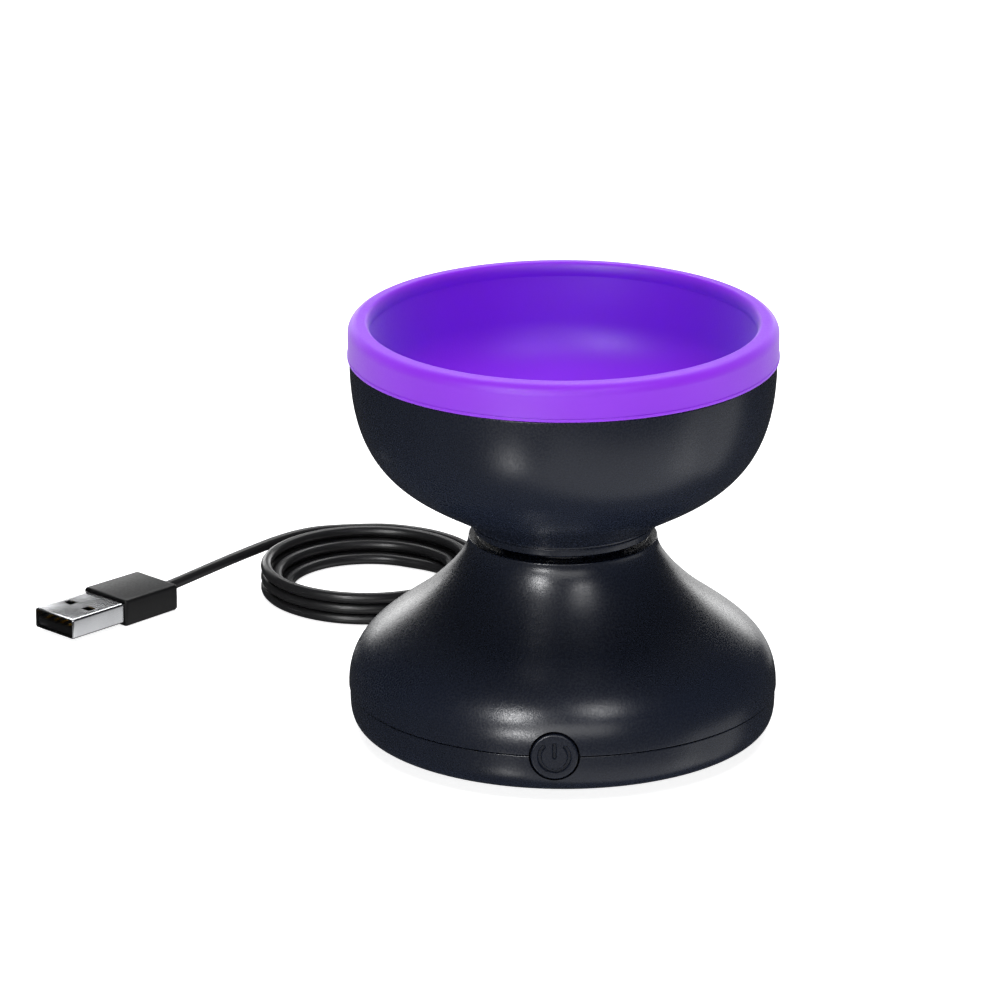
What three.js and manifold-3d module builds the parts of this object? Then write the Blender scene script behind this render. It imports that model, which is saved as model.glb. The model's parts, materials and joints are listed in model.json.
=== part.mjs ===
// Electric make-up brush cleaner: a motor in a flared base spins a bowl with a silicone liner.
// Millimetres, +Z up. Origin: middle of the base, on the surface it stands on.
// The power button faces -Y and the USB lead leaves the base towards +Y.

import * as THREE from 'three';
import { mergeVertices } from 'three/addons/utils/BufferGeometryUtils.js';
import Module from 'manifold-3d';

const wasm = await Module();
wasm.setup();

// ---------------------------------------------------------------- driving dimensions

const R_BODY = 44.45;        // 3.5 inches across, base and liner rim alike
const HEIGHT = 88.9;         // 3.5 inches tall
const ROUND = 40;            // facets around the big shells
const FINE = 16;             // facets around small turned pieces
const SMALL = 10;            // facets around screws and pins
const GAP = 0.3;             // clearance between separate pieces

const FLOOR_CLEAR = 1.0;     // underside of the bottom cover above the table
const SEAM_Z = 9.85;         // middle of the seam between cover and base shell
const LIP_Z = 11.8;          // top of the cover's locating lip
const WALL = 2.2;            // base shell wall
const COVER_WALL = 2.0;
const NECK_R = 19.6;         // top edge of the base shell
const NECK_Z = 42.6;
const DECK_Z = 41.6;         // deck inside the neck that carries the motor
const DECK_UNDER_Z = 39.4;
const COLLAR_R = 13.2;       // splash collar around the drive
const COLLAR_TOP_Z = 45.4;

const FOOT_RING_R = 18.6;    // ring under the bowl
const FOOT_RING_Z = 43.9;
const BOWL_R = 43.98;
const BOWL_WALL = 2.0;
const BOWL_FLOOR_Z = 50.9;
const BOWL_UNDER_Z = 48.9;
const BOWL_RIM_Z = 86.2;
const BAND_Z = 81.24;        // lower edge of the liner's turned-over rim
const RIM_ROUND = 2.2;
const LINER_R = 40.05;       // inside of the liner at its rim
const CREASE_Z = 76.6;       // where the liner's wall turns into its dish
const DISH_Z = 58.5;         // deepest point of the dish
const LINER_WALL = 1.8;

const BUTTON_Z = 9.85;
const BUTTON_R = 4.8;
const BUTTON_HOLE_R = 5.25;
const SCREW_CIRCLE = 31;     // cover screws, on the diagonals
const FOOT_CIRCLE = 29;      // rubber feet, on the axes
const FOOT_R = 5.0;
const MOTOR_R = 12.2;
const MOTOR_TOP_Z = 39.1;
const MOTOR_SCREW_X = 8.0;
const HUB_SCREW_CIRCLE = 7.0;

const CORD_D = 2.4;
const CORD_EXIT_Z = 6.6;
const COIL_CENTRE = [-45.7, 83.4];
const COIL_OUTER_R = 23.5;
const PLUG_REAR = [-91, 72.9];
const PLUG_HEADING = 228;    // degrees from +X, the way the plug points
const PLUG_Z = 3.05;

// ---------------------------------------------------------------- finishes

const finish = (color, roughness, metalness) =>
  new THREE.MeshStandardMaterial({ color, roughness, metalness });

const navyPlastic = () => finish(0x1b202c, 0.38, 0);
const purpleSilicone = () => finish(0x6c1fe0, 0.5, 0);
const blackRubber = () => finish(0x151515, 0.8, 0);
const blackPvc = () => finish(0x101011, 0.35, 0);
const steel = () => finish(0xb9bbc0, 0.3, 1);
const brass = () => finish(0xc9a040, 0.35, 1);
const gold = () => finish(0xd9a93a, 0.25, 1);
const copper = () => finish(0xb0643a, 0.4, 1);
const whiteNylon = () => finish(0xe2e0d8, 0.55, 0);
const greenBoard = () => finish(0x1f6b3a, 0.5, 0);
const chipBlack = () => finish(0x1a1a1c, 0.5, 0);
const magnetGrey = () => finish(0x3a3a3e, 0.6, 0.2);
const redSleeve = () => finish(0xb3201c, 0.45, 0);

// ---------------------------------------------------------------- shape helpers

// A closed mesh as a manifold-3d solid.
function asSolid(geometry) {
  const bare = geometry.clone();
  bare.deleteAttribute('normal');
  bare.deleteAttribute('uv');
  const merged = mergeVertices(bare, 1e-4);
  const index = merged.index.array;
  const triangles = [];
  for (let i = 0; i < index.length; i += 3) {
    const [a, b, c] = [index[i], index[i + 1], index[i + 2]];
    if (a !== b && b !== c && c !== a) triangles.push(a, b, c);
  }
  return new wasm.Manifold(new wasm.Mesh({
    numProp: 3,
    vertProperties: new Float32Array(merged.attributes.position.array),
    triVerts: new Uint32Array(triangles),
  }));
}

function asGeometry(solid) {
  const mesh = solid.getMesh();
  const geometry = new THREE.BufferGeometry();
  geometry.setAttribute('position', new THREE.BufferAttribute(mesh.vertProperties, 3));
  geometry.setIndex(new THREE.BufferAttribute(mesh.triVerts, 1));
  geometry.computeVertexNormals();
  return geometry;
}

const join = (first, ...others) =>
  asGeometry(others.reduce((sum, other) => sum.add(asSolid(other)), asSolid(first)));

const cut = (first, ...others) =>
  asGeometry(others.reduce((rest, other) => rest.subtract(asSolid(other)), asSolid(first)));

const common = (first, second) => asGeometry(asSolid(first).intersect(asSolid(second)));

// Turned piece about Z from [radius, z] points or Vector2 points, outline anticlockwise.
function turned(points, facets = FINE) {
  const outline = points.map((p) => (Array.isArray(p) ? new THREE.Vector2(...p) : p));
  return new THREE.LatheGeometry(outline, facets).rotateX(Math.PI / 2);
}

// Turned ring between two radii and two heights.
function ring(inner, outer, low, high, facets = FINE) {
  return turned([[inner, low], [outer, low], [outer, high], [inner, high], [inner, low]], facets);
}

// Upright round bar between two heights.
function bar(radius, low, high, facets = SMALL, x = 0, y = 0) {
  const geometry = new THREE.CylinderGeometry(radius, radius, high - low, facets);
  return geometry.rotateX(Math.PI / 2).translate(x, y, (low + high) / 2);
}

// Box between two corners.
function block(low, high) {
  const size = high.map((value, i) => value - low[i]);
  const middle = high.map((value, i) => (value + low[i]) / 2);
  return new THREE.BoxGeometry(...size).translate(...middle);
}

// Turns a piece made about Z so that its axis lies along +Y.
const layAlongY = (geometry) => geometry.rotateX(-Math.PI / 2);

// Points of a cubic curve in [radius, z].
function curve(start, control1, control2, end, steps) {
  const points = [start, control1, control2, end].map((p) => new THREE.Vector2(...p));
  return new THREE.CubicBezierCurve(...points).getPoints(steps);
}

// The same outline moved inwards by a wall thickness, for an outline that runs anticlockwise.
function inset(points, wall) {
  return points.map((point, i) => {
    const before = points[Math.max(i - 1, 0)];
    const after = points[Math.min(i + 1, points.length - 1)];
    const along = after.clone().sub(before).normalize();
    return new THREE.Vector2(point.x - along.y * wall, point.y + along.x * wall);
  });
}

// Round tube along a smooth curve through points.
function tube(points, diameter, steps, sides) {
  const path = new THREE.CatmullRomCurve3(points.map((p) => new THREE.Vector3(...p)));
  const section = new THREE.Shape();
  for (let i = 0; i < sides; i++) {
    const angle = (2 * Math.PI * i) / sides;
    const [x, y] = [Math.cos(angle) * diameter / 2, Math.sin(angle) * diameter / 2];
    if (i === 0) section.moveTo(x, y);
    else section.lineTo(x, y);
  }
  section.closePath();
  return new THREE.ExtrudeGeometry(section, { steps, extrudePath: path, bevelEnabled: false });
}

// Points spaced evenly on a circle, starting at an angle in degrees.
function around(count, radius, startDegrees) {
  return Array.from({ length: count }, (_, i) => {
    const angle = THREE.MathUtils.degToRad(startDegrees + (360 * i) / count);
    return [radius * Math.cos(angle), radius * Math.sin(angle)];
  });
}

// ---------------------------------------------------------------- scene graph

const cleaner = new THREE.Group();

function piece(name, geometry, material, parent = cleaner) {
  const mesh = new THREE.Mesh(geometry, material);
  mesh.name = name;
  parent.add(mesh);
  return mesh;
}

// ---------------------------------------------------------------- base shell

function baseOutline() {
  const lower = curve([R_BODY, SEAM_Z + GAP / 2], [R_BODY, 18.6], [39.7, 21.7], [31.9, 27.3], 6);
  const upper = curve([31.9, 27.3], [26.9, 30.9], [NECK_R, 38.0], [NECK_R, NECK_Z - 0.4], 5);
  return [...lower, ...upper.slice(1)];
}

function makeBaseShell() {
  const outer = baseOutline();
  const rebateR = R_BODY - 1.15;
  const inner = inset(outer, WALL).filter((p) => p.y < DECK_UNDER_Z - 1 && p.y > LIP_Z + 1);
  const seatR = [MOTOR_R + GAP, MOTOR_R + 1.9];
  const shell = turned([
    ...outer,
    [NECK_R - 0.4, NECK_Z], [17.6, NECK_Z], [17.6, DECK_Z],
    [COLLAR_R, DECK_Z], [COLLAR_R, COLLAR_TOP_Z], [11.8, COLLAR_TOP_Z], [11.8, DECK_Z],
    [3.4, DECK_Z], [3.4, DECK_UNDER_Z],
    [seatR[0], DECK_UNDER_Z], [seatR[0], 28], [seatR[1], 28], [seatR[1], DECK_UNDER_Z],
    [17.3, DECK_UNDER_Z], ...inner.reverse(),
    [R_BODY - WALL, LIP_Z + GAP], [rebateR, LIP_Z + GAP], [rebateR, SEAM_Z + GAP / 2],
    [R_BODY, SEAM_Z + GAP / 2],
  ], ROUND);

  const midWall = inset(outer, WALL / 2);
  const core = turned([[0, 0], [midWall[0].x, 0], ...midWall, [0, midWall.at(-1).y]], ROUND);
  const posts = around(4, SCREW_CIRCLE, 45).map(([x, y]) =>
    cut(common(bar(3.2, 6.3, 32, SMALL, x, y), core), bar(1.55, 5, 14.5, SMALL, x, y)));
  const motorScrewHoles = [-1, 1].map((side) => bar(1.3, 38, 43, SMALL, side * MOTOR_SCREW_X));
  return cut(join(shell, ...posts), ...motorScrewHoles, buttonHole());
}

const buttonHole = () => layAlongY(bar(BUTTON_HOLE_R, -50, -38, 28, 0, -BUTTON_Z));

piece('base_shell', makeBaseShell(), navyPlastic());

// ---------------------------------------------------------------- bottom cover

function makeBottomCover() {
  const top = SEAM_Z - GAP / 2;
  const outer = curve([36.1, FLOOR_CLEAR], [44.3, FLOOR_CLEAR], [44.2, 4.1], [44.2, top], 5);
  const inner = inset(outer, COVER_WALL);
  const lipR = R_BODY - 1.15 - GAP;
  const shell = turned([
    [0, FLOOR_CLEAR], ...outer, [lipR, top], [lipR, LIP_Z], [42.2, LIP_Z],
    ...inner.reverse(), [0, FLOOR_CLEAR + COVER_WALL],
  ], ROUND);

  const added = [];
  const removed = [buttonHole()];
  for (const [x, y] of around(4, SCREW_CIRCLE, 45)) {
    added.push(bar(4.6, 2, 6, FINE, x, y));
    removed.push(bar(3.0, 0, 4.2, FINE, x, y), bar(1.6, 4, 7, SMALL, x, y));
  }
  for (const [x, y] of around(4, FOOT_CIRCLE, 0)) {
    removed.push(bar(FOOT_R + GAP, 0, FLOOR_CLEAR + 0.8, FINE, x, y));
  }
  for (const side of [-1, 1]) {
    const [near, far] = [10.5 * side, 14 * side].sort((a, b) => a - b);
    added.push(block([near, -35, 2], [far, -30, 9]));
  }
  removed.push(block([-12.3, -33.5, 3.3], [12.3, -31.3, 12]));
  removed.push(layAlongY(bar(2.3, 38, 50, FINE, 0, -CORD_EXIT_Z)));
  return cut(join(shell, ...added), ...removed);
}

piece('bottom_cover', makeBottomCover(), navyPlastic());

around(4, FOOT_CIRCLE, 0).forEach(([x, y], i) => {
  const foot = turned([[0, 0], [FOOT_R - 0.6, 0], [FOOT_R, 0.6], [FOOT_R, 1.5], [0, 1.5]]);
  piece(`rubber_foot_${i + 1}`, foot, blackRubber()).position.set(x, y, 0);
});

// Pan-head screw with its head at the bottom and its shank pointing up.
function screw(headR, headH, shankR, length) {
  return turned([[0, 0], [headR - 0.3, 0], [headR, 0.4], [headR, headH],
    [shankR, headH], [shankR, length - 0.6], [0, length]], SMALL);
}

around(4, SCREW_CIRCLE, 45).forEach(([x, y], i) => {
  piece(`cover_screw_${i + 1}`, screw(2.6, 1.7, 1.2, 11), steel()).position.set(x, y, 2.2);
});

// ---------------------------------------------------------------- motor

function makeMotorCan() {
  const wall = 0.8;
  const can = turned([
    [MOTOR_R - wall, 12.6], [MOTOR_R, 12.6], [MOTOR_R, MOTOR_TOP_Z - 0.6],
    [MOTOR_R - 0.6, MOTOR_TOP_Z], [3.0, MOTOR_TOP_Z], [3.0, MOTOR_TOP_Z + 1.6],
    [1.3, MOTOR_TOP_Z + 1.6], [1.3, MOTOR_TOP_Z - wall], [MOTOR_R - wall, MOTOR_TOP_Z - wall],
    [MOTOR_R - wall, 12.6],
  ], 24);
  return cut(can, ...[-1, 1].map((side) => bar(1.3, 37, 41, SMALL, side * MOTOR_SCREW_X)));
}

function makeMotorEndCap() {
  return turned([
    [0, 8.6], [3.4, 8.6], [3.4, 9.4], [MOTOR_R - 0.2, 9.4], [MOTOR_R - 0.2, 12.3],
    [11.0, 12.3], [11.0, 13.8], [9.4, 13.8], [9.4, 11.4], [1.3, 11.4], [1.3, 9.2], [0, 9.2],
  ], 24);
}

// Magnet segment inside the can, centred on an angle.
function makeMagnet(middleDegrees) {
  const half = THREE.MathUtils.degToRad(62);
  const middle = THREE.MathUtils.degToRad(middleDegrees);
  const shape = new THREE.Shape();
  shape.absarc(0, 0, 11.0, middle - half, middle + half, false);
  shape.absarc(0, 0, 9.6, middle + half, middle - half, true);
  shape.closePath();
  return new THREE.ExtrudeGeometry(shape, { depth: 20, bevelEnabled: false, curveSegments: 8 })
    .translate(0, 0, 15);
}

// Three-pole armature: a round core with three wound slots.
function makeArmature() {
  const slots = around(3, 7.6, 30).map(([x, y]) => bar(2.6, 15, 35, SMALL, x, y));
  return cut(ring(1.3, 8.8, 16, 34, 30), ...slots);
}

piece('motor_can', makeMotorCan(), steel());
piece('motor_end_cap', makeMotorEndCap(), whiteNylon());
piece('motor_magnet_1', makeMagnet(90), magnetGrey());
piece('motor_magnet_2', makeMagnet(270), magnetGrey());
piece('motor_armature', makeArmature(), copper());
piece('motor_commutator', ring(1.3, 3.2, 12.4, 15.2, FINE), copper());
piece('motor_shaft', bar(1.0, 9.5, 47.6, FINE), steel());
[-1, 1].forEach((side, i) => {
  const tab = block([side * 6 - 1.1, -0.3, 5.6], [side * 6 + 1.1, 0.3, 9.1]);
  piece(`motor_terminal_${i + 1}`, tab, brass());
  const motorScrew = screw(1.9, 1.2, 1.0, 5.8).rotateX(Math.PI);
  piece(`motor_screw_${i + 1}`, motorScrew, steel()).position.set(side * MOTOR_SCREW_X, 0, 43.1);
});
piece('shaft_seal', ring(1.3, 5.0, 41.9, 43.0, FINE), blackRubber());

// ---------------------------------------------------------------- circuit board and wiring

function makeTactSwitch() {
  const body = block([-3, -37.0, BUTTON_Z - 3], [3, -33.5, BUTTON_Z + 3]);
  return cut(body, layAlongY(bar(2.05, -39, -35.3, SMALL, 0, -BUTTON_Z)));
}

piece('circuit_board', block([-12, -33.2, 3.6], [12, -31.6, 20]), greenBoard());
piece('tact_switch', makeTactSwitch(), chipBlack());
piece('control_chip', block([-7.5, -31.3, 13.4], [-2.5, -29.9, 17.3]), chipBlack());
piece('capacitor', layAlongY(bar(2.5, -31.3, -24.3, FINE, 5.5, -15.6)), chipBlack());

function motorLead(side) {
  return tube([[6.4 * side, -30.6, 9.6], [6.6 * side, -27, 8.4], [6.9 * side, -21, 5.2],
    [6.4 * side, -12, 4.4], [6.0 * side, -4.5, 4.7], [6.0 * side, -1.2, 6.2]], 1.1, 14, 6);
}

piece('motor_lead_positive', motorLead(1), redSleeve());
piece('motor_lead_negative', motorLead(-1), blackPvc());
piece('inner_cable', tube([[0, 38.4, CORD_EXIT_Z], [0.4, 36.4, 6.5], [3.5, 33, 5.9], [10.5, 27, 5.0],
  [15.6, 17, 4.7], [17.2, 4, 4.7], [16.6, -12, 4.8], [13.4, -22, 5.8], [9.7, -27.5, 7.4],
  [8.8, -30.9, 7.9]], CORD_D, 24, 8), blackPvc());

// ---------------------------------------------------------------- power button

function makePowerButton() {
  return layAlongY(turned([
    [0, -44.42], [BUTTON_R - 0.5, -44.42], [BUTTON_R, -43.9], [BUTTON_R, -40.9], [6.0, -40.9],
    [6.0, -39.9], [2.0, -39.9], [2.0, -38.3], [0, -38.3],
  ], 28)).translate(0, 0, BUTTON_Z);
}

piece('power_button', makePowerButton(), navyPlastic());
piece('switch_cap', layAlongY(bar(1.75, -38.0, -36.1, FINE, 0, -BUTTON_Z)), whiteNylon());

// ---------------------------------------------------------------- spinning bowl and its drive

function bowlOutline() {
  return curve([18.8, 45.9], [30.4, 53.9], [BOWL_R, 55.1], [BOWL_R, 81.0], 9);
}

function makeSpinBowl() {
  const outer = bowlOutline();
  const inner = inset(outer, BOWL_WALL).filter((p) => p.y > BOWL_FLOOR_Z + 0.6);
  const bowl = turned([
    [0, BOWL_UNDER_Z], [16.4, BOWL_UNDER_Z], [16.4, FOOT_RING_Z], [FOOT_RING_R, FOOT_RING_Z],
    [FOOT_RING_R, 44.7], [18.9, 44.7], [18.9, 45.4], ...outer,
    [43.1, 81.0], [43.1, BOWL_RIM_Z - 0.4], [42.7, BOWL_RIM_Z], [42.2, BOWL_RIM_Z],
    [41.9, BOWL_RIM_Z - 0.3], ...inner.reverse(), [21.6, BOWL_FLOOR_Z], [0, BOWL_FLOOR_Z],
  ], ROUND);
  const screwHoles = around(3, HUB_SCREW_CIRCLE, 90).map(([x, y]) =>
    bar(1.3, 48, 52, SMALL, x, y));
  return cut(bowl, ...screwHoles);
}

function makeDriveHub() {
  const hub = turned([[1.3, 43.5], [4.0, 43.5], [4.0, 45.9], [9.6, 45.9], [9.6, 48.6],
    [0, 48.6], [0, 47.9], [1.3, 47.9], [1.3, 43.5]], 24);
  const screwHoles = around(3, HUB_SCREW_CIRCLE, 90).map(([x, y]) =>
    bar(1.3, 45, 50, SMALL, x, y));
  return cut(hub, ...screwHoles);
}

piece('spin_bowl', makeSpinBowl(), navyPlastic());
piece('drive_hub', makeDriveHub(), whiteNylon());
around(3, HUB_SCREW_CIRCLE, 90).forEach(([x, y], i) => {
  const hubScrew = screw(2.2, 1.2, 1.0, 6.0).rotateX(Math.PI);
  piece(`hub_screw_${i + 1}`, hubScrew, steel()).position.set(x, y, 52.4);
});

// ---------------------------------------------------------------- silicone liner

// Dish profile from its middle to the crease, lower by a wall thickness for the underside.
function dishCurve(edgeR, edgeZ, bottomZ, steps) {
  return curve([0, bottomZ], [24, bottomZ], [edgeR - 0.6, edgeZ - 10.5], [edgeR, edgeZ], steps);
}

function makeLiner() {
  const wallR = LINER_R + 1.55;
  const rim = new THREE.Path();
  rim.absarc(R_BODY - RIM_ROUND, HEIGHT - RIM_ROUND, RIM_ROUND, 0, Math.PI, false);
  return turned([
    ...dishCurve(39.5 + LINER_WALL, CREASE_Z, DISH_Z - LINER_WALL, 6),
    [wallR, CREASE_Z + 2], [wallR, BOWL_RIM_Z + GAP], [BOWL_R - 0.58, BOWL_RIM_Z + GAP],
    [BOWL_R - 0.58, BAND_Z], [R_BODY - 0.2, BAND_Z], [R_BODY, BAND_Z + 0.2],
    ...rim.getPoints(4), ...dishCurve(39.5, CREASE_Z, DISH_Z, 6).reverse(),
  ], ROUND);
}

piece('silicone_liner', makeLiner(), purpleSilicone());

// ---------------------------------------------------------------- USB lead

function makeStrainRelief() {
  return layAlongY(turned([
    [0, 39.0], [2.9, 39.0], [2.9, 40.4], [2.0, 40.4], [2.0, 44.5], [3.2, 44.5], [3.2, 45.6],
    [2.7, 45.9], [1.75, 57.3], [0, 57.3],
  ], FINE)).translate(0, 0, CORD_EXIT_Z);
}

// From the strain relief down to the table and round to the back of the coil.
const TAIL_ROUTE = [[0, 57.6, 6.6], [0, 61.5, 6.3], [0.4, 66, 4.9], [2, 70.5, 3.1],
  [5.2, 74.9, 1.75], [9.6, 79, 1.25], [14, 83.6, 1.25], [17.2, 89.2, 1.25], [18.2, 95.4, 1.25],
  [16.4, 101.3, 1.25], [11.8, 106.1, 1.25], [5.4, 109, 1.25], [-2.4, 110.3, 1.25],
  [-11, 110.5, 1.25], [-20, 110, 1.25], [-29, 109.2, 1.25], [-37.5, 108.5, 1.25],
  [-44, 108.25, 1.25]];

// From the top of the coil down to the plug.
const LEAD_ROUTE = [[-50.2, 108.3, 5.55], [-56.6, 107.2, 5.5], [-62.3, 104.1, 5.5],
  [-67, 99.6, 5.45], [-71.4, 94.3, 5.3], [-76, 88.9, 4.95], [-80.6, 83.8, 4.4],
  [-85, 79.2, 3.75], [-88.9, 75.2, 3.2], [-90.8, 73.12, 3.05]];

// The turns taken together: three layers in the outer ring, two in the next, one in the innermost.
function makeCoil() {
  const steps = [0, 1, 2].flatMap((ring) => {
    const top = (3 - ring) * CORD_D + 0.05;
    const outer = COIL_OUTER_R - ring * CORD_D;
    return [[outer, top], [outer - CORD_D, top]];
  });
  const inner = COIL_OUTER_R - 3 * CORD_D;
  return turned([[inner, 0], [COIL_OUTER_R, 0], ...steps, [inner, 0]], 40)
    .translate(COIL_CENTRE[0], COIL_CENTRE[1], 0);
}

piece('strain_relief', makeStrainRelief(), blackPvc());
piece('cord_tail', tube(TAIL_ROUTE, CORD_D, 22, 8), blackPvc());
piece('cord_coil', makeCoil(), blackPvc());
piece('cord_lead', tube(LEAD_ROUTE, CORD_D, 12, 8), blackPvc());

// ---------------------------------------------------------------- USB plug, pointing along its own +X

const OVERMOLD = { length: 15.5, width: 13.4, height: 6, pocket: 8.5 };
const SHELL = { start: 8.8, end: 30.5, window: 23, width: 12, height: 4.5, wall: 0.4 };
const TONGUE = { start: 9.1, end: 30, width: 10.6, low: -1.7, high: 0 };

function makeOvermold() {
  const [w, h, r] = [OVERMOLD.width / 2, OVERMOLD.height / 2, 1.0];
  const section = new THREE.Shape();
  section.absarc(w - r, h - r, r, 0, Math.PI / 2, false);
  section.absarc(-w + r, h - r, r, Math.PI / 2, Math.PI, false);
  section.absarc(-w + r, -h + r, r, Math.PI, 1.5 * Math.PI, false);
  section.absarc(w - r, -h + r, r, 1.5 * Math.PI, 2 * Math.PI, false);
  const options = { depth: OVERMOLD.length, bevelEnabled: false, curveSegments: 3 };
  const body = new THREE.ExtrudeGeometry(section, options)
    .rotateX(Math.PI / 2).rotateZ(Math.PI / 2);
  const [pw, ph] = [SHELL.width / 2 + GAP, SHELL.height / 2 + GAP];
  return cut(body, block([OVERMOLD.pocket, -pw, -ph], [OVERMOLD.length + 1, pw, ph]));
}

function makePlugShell() {
  const [w, h, t] = [SHELL.width / 2, SHELL.height / 2, SHELL.wall];
  const sleeve = cut(
    block([SHELL.start, -w, -h], [SHELL.end, w, h]),
    block([SHELL.start - 1, -w + t, -h + t], [SHELL.end + 1, w - t, h - t]));
  const windows = [-1, 1].map((side) =>
    block([SHELL.window - 1.1, side * 2.9 - 1.25, -h - 1],
      [SHELL.window + 1.1, side * 2.9 + 1.25, h + 1]));
  return cut(sleeve, ...windows);
}

const plug = new THREE.Group();
plug.position.set(PLUG_REAR[0], PLUG_REAR[1], PLUG_Z);
plug.rotation.z = THREE.MathUtils.degToRad(PLUG_HEADING);
cleaner.add(plug);

piece('plug_overmold', makeOvermold(), blackPvc(), plug);
piece('plug_shell', makePlugShell(), steel(), plug);
piece('plug_tongue', block([TONGUE.start, -TONGUE.width / 2, TONGUE.low],
  [TONGUE.end, TONGUE.width / 2, TONGUE.high]), chipBlack(), plug);
[-3.5, -1, 1, 3.5].forEach((y, i) => {
  const strip = block([TONGUE.end - 9.5, y - 0.5, TONGUE.high + 0.1],
    [TONGUE.end - 1, y + 0.5, TONGUE.high + 0.35]);
  piece(`plug_contact_${i + 1}`, strip, gold(), plug);
});

export default cleaner;
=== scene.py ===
# Looks of the electric make-up brush cleaner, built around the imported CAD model.
# Lengths are in millimetres unless a name says otherwise, and MM turns them into metres.

import json
import math

import bmesh
import bpy
from mathutils import Matrix, Vector


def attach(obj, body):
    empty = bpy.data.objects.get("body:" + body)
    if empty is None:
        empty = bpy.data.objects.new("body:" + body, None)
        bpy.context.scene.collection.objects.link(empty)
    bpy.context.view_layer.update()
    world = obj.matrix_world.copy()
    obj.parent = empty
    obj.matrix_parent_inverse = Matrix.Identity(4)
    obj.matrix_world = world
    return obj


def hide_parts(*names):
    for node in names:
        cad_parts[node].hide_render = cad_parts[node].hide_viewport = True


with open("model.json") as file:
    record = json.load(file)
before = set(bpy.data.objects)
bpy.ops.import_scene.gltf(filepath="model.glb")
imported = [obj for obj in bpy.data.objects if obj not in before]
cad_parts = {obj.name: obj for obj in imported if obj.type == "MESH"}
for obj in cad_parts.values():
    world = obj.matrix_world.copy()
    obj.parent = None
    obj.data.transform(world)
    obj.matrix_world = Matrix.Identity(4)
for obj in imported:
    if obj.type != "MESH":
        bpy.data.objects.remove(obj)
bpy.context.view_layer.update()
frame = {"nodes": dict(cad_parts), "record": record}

MM = 0.001
AROUND = 160          # facets around the big shells
TURN = 64             # facets around small turned pieces
SHARP = 38            # degrees between faces from which an edge is drawn sharp
KEPT_SHARP = 30       # the same, for the pieces kept from the CAD model
ON_AXIS = 1e-6        # radius below which a point of an outline lies on the axis

# Driving dimensions, the same as the CAD model's.
R_BODY = 44.45
HEIGHT = 88.9
SEAM_Z = 9.85
SEAM_GAP = 0.3
LIP_Z = 11.8
WALL = 2.2
COVER_WALL = 2.0
NECK_R = 19.6
NECK_Z = 42.6
DECK_Z = 41.6
DECK_UNDER_Z = 39.4
BOWL_R = 43.98
BOWL_RIM_Z = 86.2
BOWL_FLOOR_Z = 50.9
BAND_Z = 81.24
CREASE_Z = 76.6
DISH_Z = 58.5
SCREW_CIRCLE = 31
FOOT_CIRCLE = 29
HUB_SCREW_CIRCLE = 7
MOTOR_SCREW_X = 8
BUTTON_Z = 9.85
BUTTON_R = 4.8
BUTTON_HOLE_R = 5.25
FACE_Y = -44.42       # the button's outer face

CORD_D = 2.4
CORD_EXIT = (0.0, 57.3, 6.6)
COIL_CENTRE = (-45.7, 83.4)
COIL_R = 22.3
COIL_PITCH = 2.42     # from one ring of turns to the next, inwards
PLUG_REAR = (-91, 72.9)
PLUG_HEADING = 228
PLUG_Z = 3.05


# ---------------------------------------------------------------- camera

TARGET = Vector((0, 0, HEIGHT / 2)) * MM
CAMERA_AZIMUTH = math.radians(2.1)
CAMERA_ELEVATION = math.radians(18.93)
CAMERA_DISTANCE = 1.6
CAMERA_LENS = 278.2
SENSOR_WIDTH = 36
AIM_RIGHT = -0.01293  # the picture's middle lies this far beside the object's axis
AIM_UP = 0.0050


def make_camera():
    forward = Vector((-math.sin(CAMERA_AZIMUTH) * math.cos(CAMERA_ELEVATION),
                      math.cos(CAMERA_AZIMUTH) * math.cos(CAMERA_ELEVATION),
                      -math.sin(CAMERA_ELEVATION)))
    right = Vector((math.cos(CAMERA_AZIMUTH), math.sin(CAMERA_AZIMUTH), 0))
    up = right.cross(forward)
    data = bpy.data.cameras.new("camera")
    data.lens = CAMERA_LENS
    data.sensor_width = SENSOR_WIDTH
    camera = bpy.data.objects.new("camera", data)
    bpy.context.scene.collection.objects.link(camera)
    camera.location = TARGET - forward * CAMERA_DISTANCE
    aim = TARGET + right * AIM_RIGHT + up * AIM_UP
    camera.rotation_euler = (aim - camera.location).to_track_quat("-Z", "Y").to_euler()
    bpy.context.scene.camera = camera


make_camera()


# ---------------------------------------------------------------- outlines

def bezier(start, control1, control2, end, steps):
    """Points of a cubic curve, both ends included."""
    corners = (start, control1, control2, end)
    points = []
    for i in range(steps + 1):
        t = i / steps
        weights = ((1 - t) ** 3, 3 * t * (1 - t) ** 2, 3 * t * t * (1 - t), t ** 3)
        points.append(tuple(sum(w * p[axis] for w, p in zip(weights, corners)) for axis in (0, 1)))
    return points


def arc(centre, radii, start, end, steps):
    """Points of an ellipse's arc; radii is (across, up) and the angles are in degrees."""
    angles = [math.radians(start + (end - start) * i / steps) for i in range(steps + 1)]
    return [(centre[0] + radii[0] * math.cos(a), centre[1] + radii[1] * math.sin(a))
            for a in angles]


def inset(points, wall):
    """The outline moved inwards by a wall thickness, for an outline that runs anticlockwise."""
    moved = []
    for i, (x, y) in enumerate(points):
        before, after = points[max(i - 1, 0)], points[min(i + 1, len(points) - 1)]
        along = Vector((after[0] - before[0], after[1] - before[1])).normalized()
        moved.append((x - along.y * wall, y + along.x * wall))
    return moved


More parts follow.
